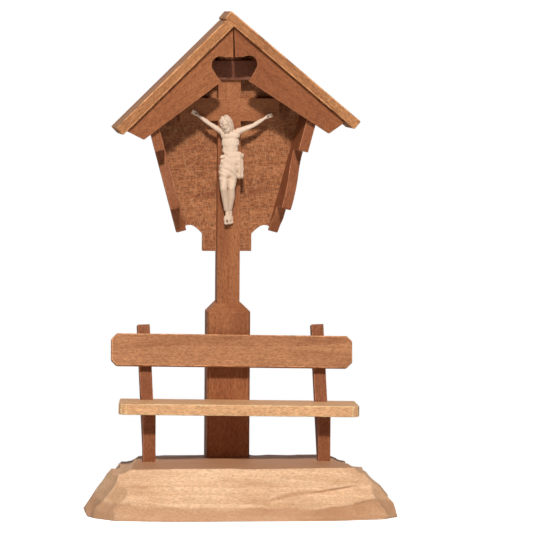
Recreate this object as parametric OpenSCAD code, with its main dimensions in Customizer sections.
// Wayside cross with bench: a carved wooden tabletop model.
// Millimetres. Origin: middle of the plinth underside. Z up, front faces -Y, X to the right.

/* [Plinth] */
// Width of the plinth underside
plinth_width = 152; // [130:1:190]
// Depth of the plinth underside
plinth_depth = 88; // [78:1:110]
// Height of the plinth top
plinth_height = 24.3; // [16:0.1:36]
// Width of the plinth top along its front edge
plinth_top_width = 120; // [112:1:140]
// Width of the plinth top along its rear edge
plinth_rear_width = 103; // [98:1:112]
// Depth of the sockets cut in the plinth for the feet
socket_depth = 2; // [1:0.5:6]

/* [Cross] */
// Offset of the cross from the middle of the plinth
cross_x = -2; // [-10:0.5:10]
// Front face of the post
post_front = 29.5; // [26:0.5:32]
// Width of the post and height of the cross arm
post_width = 11.3; // [8:0.1:14]
// Depth of the post below the back panel
post_depth = 10; // [9:0.1:12]
// Middle height of the cross arm
beam_z = 198; // [180:0.5:205]
// Length of the cross arm
beam_length = 50; // [44:1:58]
// Width of the foot block
base_width = 21.4; // [16:0.1:28]
// How far the foot block stands in front of the post
base_proud = 4.5; // [2:0.1:7]
// Height of the foot block shoulder
base_shoulder = 97.3; // [92:0.1:104]
// Size of the bevel on the vertical edges of the foot block
base_bevel = 1.1; // [0.4:0.1:2]

/* [Shrine] */
// Thickness of the back panel
panel_thickness = 4; // [2.5:0.1:5]
// Half width of the panel at its two lower tips
panel_tip_half = 25.3; // [22:0.1:30]
// Height of the lower tips
panel_tip_z = 136.3; // [128:0.5:142]
// Slant of the panel sides from upright
panel_slant = 15.1; // [8:0.1:18]
// Half width of the middle tab
tab_half = 12.3; // [9:0.1:16]
// Drop of the middle tab below the tips
tab_drop = 9.2; // [5:0.1:14]
// Rise of the lower arches
arch_rise = 4.1; // [2:0.1:6]
// Thickness of the side boards
side_thickness = 5; // [3:0.1:6]
// Outward flare of the side boards towards the front
side_flare = 5; // [0:0.5:8]

/* [Roof] */
// Height of the inner ridge line
ridge_z = 239.5; // [230:0.5:250]
// Slope of the left roof board
left_slope = 42.5; // [38:0.1:46]
// Slope of the right roof board
roof_slope = 42; // [38:0.1:46]
// Hand-fitted lean of the whole roof
roof_tilt = 2.1; // [0:0.1:3]
// Thickness of the roof boards
roof_thickness = 5; // [3:0.1:6]
// Front edge of the roof
roof_front = 10; // [7:0.5:11]
// Depth of the roof
roof_depth = 30.5; // [30:0.5:36]
// Length of the left roof board along its underside
left_roof_length = 76.8; // [72:0.1:84]
// Length of the right roof board along its underside
right_roof_length = 78.8; // [72:0.1:84]
// Overhang of the right board past the left one at the ridge
ridge_overhang = 1.0; // [0:0.05:2]
// Thickness of the gable boards
gable_thickness = 3.2; // [2:0.1:3.6]
// Recess of the gable boards behind the roof front
gable_recess = 2.6; // [1.5:0.1:3]
// Width and height of the title board
title_size = [26, 9.3];
// Middle height of the title board
title_z = 217.7; // [214:0.1:219]
// Thickness of the title board
title_thickness = 2; // [1:0.1:3]

/* [Bench] */
// Middle of the legs
bench_x = 0.3; // [-4:0.1:4]
// Middle of the back board
back_x = -0.9; // [-4:0.1:4]
// Shift of the seat's rear edge, so its ends are cut on a slant
seat_skew = 3; // [0:0.1:5]
// Length of the seat
seat_length = 119.5; // [104:0.5:130]
// Front edge of the seat
seat_front = -6; // [-12:0.5:0]
// Height of the seat top
seat_top = 53.4; // [48:0.1:60]
// Thickness of the seat
seat_thickness = 5.5; // [4:0.1:7]
// Small hand-fitted lean of the bench boards
bench_tilt = 0.8; // [0:0.1:1.5]
// Length of the back board
back_length = 120.5; // [104:0.5:130]
// Width of the back board
back_height = 16.1; // [12:0.1:20]
// Thickness of the back board
back_thickness = 5; // [3.5:0.1:6]
// Height of the top edge of the back board
back_top = 85.4; // [80:0.1:92]
// Lean of the back board
recline = 11; // [6:0.5:13]
// Width of the legs and uprights
leg_width = 6.2; // [5:0.1:8]
// Thickness of the uprights
upright_thickness = 5.5; // [4:0.1:6]
// Sideways lean of the uprights
upright_lean = 1.9; // [0:0.1:2.5]
// Rise of the uprights above the back board
upright_rise = 5.8; // [3:0.1:8]
// Distance between the middles of the legs
leg_spacing = 87.2; // [76:0.1:94]
// Front face of the front legs
leg_front = 6.4; // [2:0.1:7]
// Depth of the front legs
leg_depth = 5.8; // [4:0.1:6]

/* [Figure] */
// Radius of the nails
nail_radius = 0.45; // [0.3:0.05:0.7]

/* [Hidden] */
fit = 0.1;
$fn = 48;
post_back = post_front + post_depth;
panel_front = post_back - panel_thickness;
base_front = post_front - base_proud;
gable_front = roof_front + gable_recess;
gable_rear = gable_front + gable_thickness;
ridge_x = cross_x - 0.15;
brown = [0.60, 0.38, 0.24];
honey = [0.78, 0.55, 0.34];
pale = [0.90, 0.72, 0.54];
cream = [0.95, 0.87, 0.76];
steel = [0.55, 0.55, 0.56];

// ---------------------------------------------------------------- helpers

// An outline drawn in X and Z, standing between y0 and y1
module upright_plate(y0, y1) {
    translate([0, y1, 0]) rotate([90, 0, 0]) linear_extrude(y1 - y0) children();
}

// Everything that follows the lean of the roof, measured from the inner ridge
module at_ridge() {
    translate([ridge_x, 0, ridge_z]) rotate([0, -roof_tilt, 0]) children();
}

// Everything that follows the lean of the bench, measured from seat height
module at_bench() {
    translate([bench_x, 0, seat_top]) rotate([0, bench_tilt, 0])
        translate([-bench_x, 0, -seat_top]) children();
}

// Hinge line of the leaning back board: rear top edge against the foot block
module at_backrest() {
    translate([back_x, base_front, back_top]) rotate([-recline, 0, 0]) children();
}

// Outline of all the room below the roof boards, in X and Z, down past the floor
module under_roof(gap = 0) {
    translate([ridge_x, ridge_z]) rotate(roof_tilt)
        polygon([[0, -gap], [90, -gap - 90 * tan(roof_slope)], [90, -ridge_z - 10],
            [-90, -ridge_z - 10], [-90, -gap - 90 * tan(left_slope)]]);
}

function arch(x0, x1, z0, z1, rise) = [for (i = [0:12])
    [x0 + (x1 - x0) * i / 12, z0 + (z1 - z0) * i / 12
        + rise * (sin(180 * i / 12))]];

// ---------------------------------------------------------------- plinth

module leg_prism(side, gap = 0) {
    translate([bench_x + side * leg_spacing / 2 - leg_width / 2 - gap,
        leg_front - gap, plinth_height - socket_depth])
        cube([leg_width + 2 * gap, leg_depth + 2 * gap, seat_top]);
}

module upright_prism(side, gap = 0, open = 0) {
    at_backrest() translate([side * leg_spacing / 2, 0, 0])
        rotate([0, -upright_lean, 0])
        translate([-leg_width / 2 - gap, -gap, -back_top])
        cube([leg_width + 2 * gap, upright_thickness + 2 * gap + open,
            back_top + upright_rise]);
}

// wedge gouged off the right rear corner, so the top narrows to the rear
module rear_wedge() {
    translate([plinth_rear_width / 2, plinth_depth / 2 - 4, plinth_height])
        rotate([0, 0, 14.7]) rotate([0, -35.6, 0])
        translate([0, -plinth_width, -plinth_width])
        cube([plinth_width, 2 * plinth_width, 2 * plinth_width]);
}

module plinth_body() {
    h = plinth_height;
    w = plinth_width / 2;
    d = plinth_depth / 2;
    t = plinth_top_width / 2;
    intersection() {
        linear_extrude(h) polygon([[-w, -d + 27], [-w + 3, -d + 18], [-w + 12, -d + 6],
            [-w + 40, -d], [w - 34, -d], [w - 8, -d + 6], [w, -d + 16],
            [w - 1, d - 26], [w - 10, d - 8], [w - 24, d], [-w + 26, d],
            [-w + 10, d - 8], [-w + 1, d - 24]]);
        rotate([90, 0, 90]) translate([0, 0, -w]) linear_extrude(2 * w)
            polygon([[-d, 0], [-d + 1, 6.8], [-d + 11, h - 3.8], [-d + 14, h],
                [d - 4, h], [d - 1, h - 8], [d, 0]]);
        upright_plate(-d, d) polygon([[-w, 0], [-w + 3, 9],
            [-t - 9, h - 7], [-t - 4.5, h - 2.2], [-t, h], [t, h],
            [t + 5, h - 5], [t + 9, h - 10], [w - 2.5, 9], [w - 1, 4],
            [w, 0]]);
    }
}

module plinth() color(pale) difference() {
    plinth_body();
    rear_wedge();
    mirror([1, 0, 0]) rear_wedge();
    for (s = [-1, 1]) {
        leg_prism(s, fit);
        intersection() {
            upright_prism(s, fit);
            translate([-plinth_width, -plinth_depth,
                plinth_height - socket_depth])
                cube([2 * plinth_width, 2 * plinth_depth, seat_top]);
        }
    }
}

// ---------------------------------------------------------------- cross

module post_base() color(brown) difference() {
    w = base_width / 2;
    s = (base_width - post_width) / 2;
    intersection() {
        translate([cross_x, 0, plinth_height])
            linear_extrude(base_shoulder + s - plinth_height)
            polygon([[-w, base_front + base_bevel], [-w + base_bevel, base_front],
                [w - base_bevel, base_front], [w, base_front + base_bevel],
                [w, post_back], [-w, post_back]]);
        upright_plate(base_front - 1, post_back + 1) translate([cross_x, 0])
            polygon([[-w, 0], [w, 0], [w, base_shoulder],
                [post_width / 2, base_shoulder + s],
                [-post_width / 2, base_shoulder + s], [-w, base_shoulder]]);
        translate([cross_x - w - 1, 0, 0]) rotate([90, 0, 90])
            linear_extrude(base_width + 2)
            polygon([[base_front, 0], [post_back, 0],
                [post_back, base_shoulder + s],
                [post_front, base_shoulder + s * 0.8],
                [base_front, base_shoulder - 0.2]]);
    }
    translate([cross_x - post_width / 2 - fit, post_front - fit,
        plinth_height - 1])
        cube([post_width + 2 * fit, post_depth + 2, 200]);
}

module post_shape() {
    upright_plate(post_front, post_back) intersection() {
        translate([cross_x - post_width / 2, plinth_height])
            square([post_width, ridge_z]);
        under_roof(0);
    }
}

module cross_post() color(brown) difference() {
    post_shape();
    // rebate for the back panel
    upright_plate(panel_front, post_back + 1)
        translate([cross_x - post_width, panel_tip_z - tab_drop])
        square([2 * post_width, 200]);
    // half lap for the cross arm
    translate([cross_x - post_width, post_front - 1, beam_z - post_width / 2])
        cube([2 * post_width, 1 + (panel_front - post_front) / 2, post_width]);
    nail(cross_x - 1.2, feet_z, fit / 2, 6);
}

module cross_beam() color(brown) difference() {
    translate([cross_x - beam_length / 2, post_front, beam_z - post_width / 2])
        cube([beam_length, panel_front - post_front, post_width]);
    translate([cross_x - post_width / 2,
        post_front + (panel_front - post_front) / 2, beam_z - post_width])
        cube([post_width, post_depth, 2 * post_width]);
    for (s = [-1, 1]) nail(hand_x(s), hand_z(s), fit / 2, 4);
}

module title_board() color(honey) difference() {
    translate([cross_x + 0.3, post_front, title_z]) rotate([90, 0, 0])
        linear_extrude(title_thickness) square(title_size, center = true);
    // bevelled lower front edge
    translate([cross_x - 20, post_front - title_thickness,
        title_z - title_size[1] / 2]) rotate([-40, 0, 0])
        translate([0, -4, -4]) cube([40, 4, 4.6]);
}

// ---------------------------------------------------------------- shrine

module panel_outline() {
    h = panel_tip_half;
    z = panel_tip_z;
    up = 110;
    top = h + up * tan(panel_slant);
    intersection() {
        translate([cross_x - 0.2, 0]) polygon(concat([[-h, z]],
            arch(-h, -tab_half, z, z - 0.5, arch_rise),
            [[-tab_half, z - tab_drop], [tab_half, z - tab_drop]],
            arch(tab_half, h, z - 0.5, z, arch_rise),
            [[h, z], [top, z + up], [-top, z + up]]));
        under_roof(0);
    }
}

module back_panel() color(brown)
    upright_plate(panel_front, post_back) panel_outline();

// profile of a side board: depth forward, distance up the slant
module side_profile() {
    lobe = panel_front - gable_rear;
    polygon([[-2, 0], [0.8, 0], [2.4, 4], [5.2, 7.6], [5.6, 12.5],
        [16.6, 12.8], [17, 15], [16.8, 19], [15.6, 24], [13.6, 28.5],
        [11, 32.5], [8.8, 36.5], [8, 40], [8, 42.7], [lobe + 2, 42.7],
        [lobe + 2, 100], [-2, 100]]);
}

module right_side_shape() {
    intersection() {
        translate([cross_x - 0.2 + panel_tip_half, panel_front, panel_tip_z])
            rotate([0, panel_slant, 0]) rotate([0, 0, side_flare])
            rotate([90, 0, -90]) linear_extrude(side_thickness) side_profile();
        upright_plate(gable_rear, panel_front) under_roof(0);
    }
}

module right_side_board() color(brown) right_side_shape();

module left_side_board() color(brown) intersection() {
    translate([2 * (cross_x - 0.2), 0, 0]) mirror([1, 0, 0])
        translate([cross_x - 0.2 + panel_tip_half, panel_front, panel_tip_z])
        rotate([0, panel_slant, 0]) rotate([0, 0, side_flare])
        rotate([90, 0, -90]) linear_extrude(side_thickness) side_profile();
    upright_plate(gable_rear, panel_front) under_roof(0);
}

// ---------------------------------------------------------------- roof

module right_roof_board() color(brown) at_ridge() rotate([0, roof_slope, 0])
    translate([-roof_thickness / sin(roof_slope + left_slope) - ridge_overhang,
        roof_front, 0])
    cube([right_roof_length + roof_thickness / sin(roof_slope + left_slope)
        + ridge_overhang, roof_depth, roof_thickness]);

module left_roof_board() color(brown) at_ridge() rotate([0, -left_slope, 0])
    upright_plate(roof_front, roof_front + roof_depth)
    polygon([[0, 0], [-left_roof_length, 0],
        [-left_roof_length, roof_thickness],
        [-roof_thickness / tan(roof_slope + left_slope), roof_thickness]]);

// half of the gable: outer end, lower edge, tip, lobe of the cut-out
module gable_outline(slope) {
    t = tan(slope);
    polygon(concat([[0.1, -0.1 * t], [54.5, -54.5 * t], [46.1, -54.6],
        [6.75, -27.2], [8.4, -25], [9.9, -22.6]],
        [for (a = [-40:14:100]) [7.1 + 4.3 * cos(a), -18.9 + 4.3 * sin(a)]],
        [[4.2, -15.3], [2.4, -15.1], [0.45, -15.4]]));
}

module right_gable_board() color(brown) at_ridge()
    upright_plate(gable_front, gable_rear) gable_outline(roof_slope);

module left_gable_board() color(brown) at_ridge() mirror([1, 0, 0])
    upright_plate(gable_front, gable_rear) gable_outline(left_slope);

// ---------------------------------------------------------------- bench

module seat_solid(extra = 0) {
    at_bench() translate([bench_x, 0, seat_top - seat_thickness])
        linear_extrude(seat_thickness + extra) polygon([
            [-seat_length / 2 + seat_skew, base_front],
            [seat_length / 2 + seat_skew - 1.5, base_front],
            [seat_length / 2, seat_front + 3.4],
            [seat_length / 2 - 1, seat_front + 1.3],
            [seat_length / 2 - 3.4, seat_front],
            [-seat_length / 2 + 3.4, seat_front],
            [-seat_length / 2 + 1, seat_front + 1.3],
            [-seat_length / 2, seat_front + 3.4]]);
}

module bench_seat() color(honey) difference() {
    seat_solid();
    for (s = [-1, 1]) upright_prism(s, fit, 20);
}

module bench_backrest() color(brown) at_backrest() rotate([0, bench_tilt, 0])
    upright_plate(-back_thickness, 0) polygon([
        [-back_length / 2 + 2.7, 0], [back_length / 2 - 2.7, 0],
        [back_length / 2, -2.7], [back_length / 2, -back_height + 2.7],
        [back_length / 2 - 2.7, -back_height],
        [-back_length / 2 + 2.7, -back_height],
        [-back_length / 2, -back_height + 2.7],
        [-back_length / 2, -2.7]]);

module front_leg(side) difference() {
    leg_prism(side);
    at_bench() translate([-plinth_width, -plinth_depth,
        seat_top - seat_thickness])
        cube([2 * plinth_width, 2 * plinth_depth, 2 * seat_top]);
}

module left_front_leg() color(brown) front_leg(-1);
module right_front_leg() color(brown) front_leg(1);

module bench_upright(side) intersection() {
    upright_prism(side);
    translate([-plinth_width, -plinth_depth, plinth_height - socket_depth])
        cube([2 * plinth_width, 2 * plinth_depth, 200]);
}

module left_bench_upright() color(brown) bench_upright(-1);
module right_bench_upright() color(brown) bench_upright(1);

// ---------------------------------------------------------------- figure

feet_z = 142.8;
function hand_x(s) = cross_x + (s < 0 ? -16.9 : 19);
function hand_z(s) = s < 0 ? 196 : 194.6;

module nail(x, z, gap = 0, deep = 4) {
    translate([x, post_front + deep, z]) rotate([90, 0, 0])
        cylinder(r = nail_radius + gap, h = deep + 5.6);
}

module nail_with_head(x, z, front) {
    translate([x, post_front + 2, z]) rotate([90, 0, 0])
        cylinder(r = nail_radius, h = 2 + front);
    translate([x, post_front - front + 0.3, z]) rotate([90, 0, 0])
        cylinder(r = nail_radius * 2, h = 0.6);
}

// a limb between two points, tapering from ra to rb
module limb(a, b, ra, rb) {
    hull() {
        translate(a) sphere(r = ra, $fn = 16);
        translate(b) sphere(r = rb, $fn = 16);
    }
}

// a flattened ball, for the masses of the figure
module mass(at, size) {
    translate(at) scale(size) sphere(r = 1, $fn = 20);
}

module corpus_limits() {
    translate([-60, -20, 100]) cube([120, 20 + post_front, 120]);
}

module corpus_body() color(cream) difference() {
    x = cross_x;
    y = post_front;
    intersection() {
        union() {
            // head, hanging forward and to the left
            hull() {
                mass([x - 1.9, y - 6.4, 192.6], [3.2, 3.4, 3.2]);
                mass([x - 1.2, y - 7.2, 189.8], [1.9, 1.8, 2.2]);
            }
            limb([x + 0.2, y - 3, 185.4], [x - 0.8, y - 5, 190], 2.1, 1.8);
            // chest, waist and hips
            hull() {
                mass([x + 0.8, y - 2.9, 185.2], [4.9, 2.6, 3]);
                mass([x + 0.7, y - 3.1, 181.5], [4.3, 2.7, 3]);
            }
            hull() {
                mass([x + 0.7, y - 3, 181.5], [4.1, 2.5, 2.6]);
                mass([x + 0.3, y - 2.7, 175.6], [3.7, 2.3, 2.4]);
            }
            hull() {
                mass([x + 0.3, y - 3, 174.6], [4.4, 3, 2.4]);
                mass([x - 0.6, y - 3.4, 167], [5.5, 3.4, 3]);
            }
            // hanging end of the cloth
            hull() {
                mass([x + 4.9, y - 3.2, 172.6], [1.7, 1.7, 1.6]);
                mass([x + 5.1, y - 2.8, 164.8], [1.5, 1.3, 2]);
            }
            // legs, knees together and a little to the left
            limb([x - 3.1, y - 3.6, 167], [x - 2.6, y - 6.2, 157.8], 3, 2.2);
            limb([x + 1.5, y - 3.4, 167], [x + 0.5, y - 6, 158.2], 3, 2.2);
            limb([x - 2.6, y - 6.2, 157.8], [x - 1.6, y - 3.6, 148], 2.2, 1.5);
            limb([x + 0.5, y - 6, 158.2], [x - 0.5, y - 2.6, 148], 2.2, 1.5);
            // feet, one over the other
            hull() {
                mass([x - 1.3, y - 3.4, 148.4], [1.9, 1.7, 1.6]);
                mass([x - 1.5, y - 2.6, 142.2], [1.9, 1.4, 2]);
            }
            hull() {
                mass([x - 0.5, y - 2, 148], [1.7, 1.7, 1.6]);
                mass([x - 0.6, y - 0.9, 142.6], [1.8, 1.2, 2]);
            }
        }
        corpus_limits();
    }
    nail(cross_x - 1.2, feet_z, fit / 2, 6);
    nail_head_room(cross_x - 1.2, feet_z, 4.4);
}

module nail_head_room(x, z, front) {
    translate([x, post_front - front + 0.35, z]) rotate([90, 0, 0])
        cylinder(r = nail_radius * 2 + fit / 2, h = 3);
}

module arm(s) difference() {
    intersection() {
        union() {
            limb([cross_x + 0.8 + s * 4.4, post_front - 2.6, 186.4],
                [cross_x + (s < 0 ? -10.2 : 11.2), post_front - 2.6, 190.8],
                2, 1.5);
            limb([cross_x + (s < 0 ? -10.2 : 11.2), post_front - 2.6, 190.8],
                [cross_x + (s < 0 ? -15.6 : 17.2), post_front - 1.6,
                    s < 0 ? 194.6 : 193.6], 1.5, 1.1);
            translate([hand_x(s) - 2.2, post_front - 2, hand_z(s) - 1.7])
                cube([4.4, 2, 3.4]);
        }
        corpus_limits();
        // the shoulder is cut where it meets the chest
        translate([cross_x + 0.8 + s * (5 + 30), 0, 190])
            cube([60, 80, 60], center = true);
    }
    nail(hand_x(s), hand_z(s), fit / 2, 4);
    nail_head_room(hand_x(s), hand_z(s), 2);
}

module corpus_left_arm() color(cream) arm(-1);
module corpus_right_arm() color(cream) arm(1);

module left_hand_nail() color(steel)
    nail_with_head(hand_x(-1), hand_z(-1), 2);
module right_hand_nail() color(steel)
    nail_with_head(hand_x(1), hand_z(1), 2);
module foot_nail() color(steel)
    nail_with_head(cross_x - 1.2, feet_z, 4.4);

// ---------------------------------------------------------------- output

plinth();
post_base();
cross_post();
cross_beam();
title_board();
back_panel();
left_side_board();
right_side_board();
left_roof_board();
right_roof_board();
left_gable_board();
right_gable_board();
bench_seat();
bench_backrest();
left_front_leg();
right_front_leg();
left_bench_upright();
right_bench_upright();
corpus_body();
corpus_left_arm();
corpus_right_arm();
left_hand_nail();
right_hand_nail();
foot_nail();
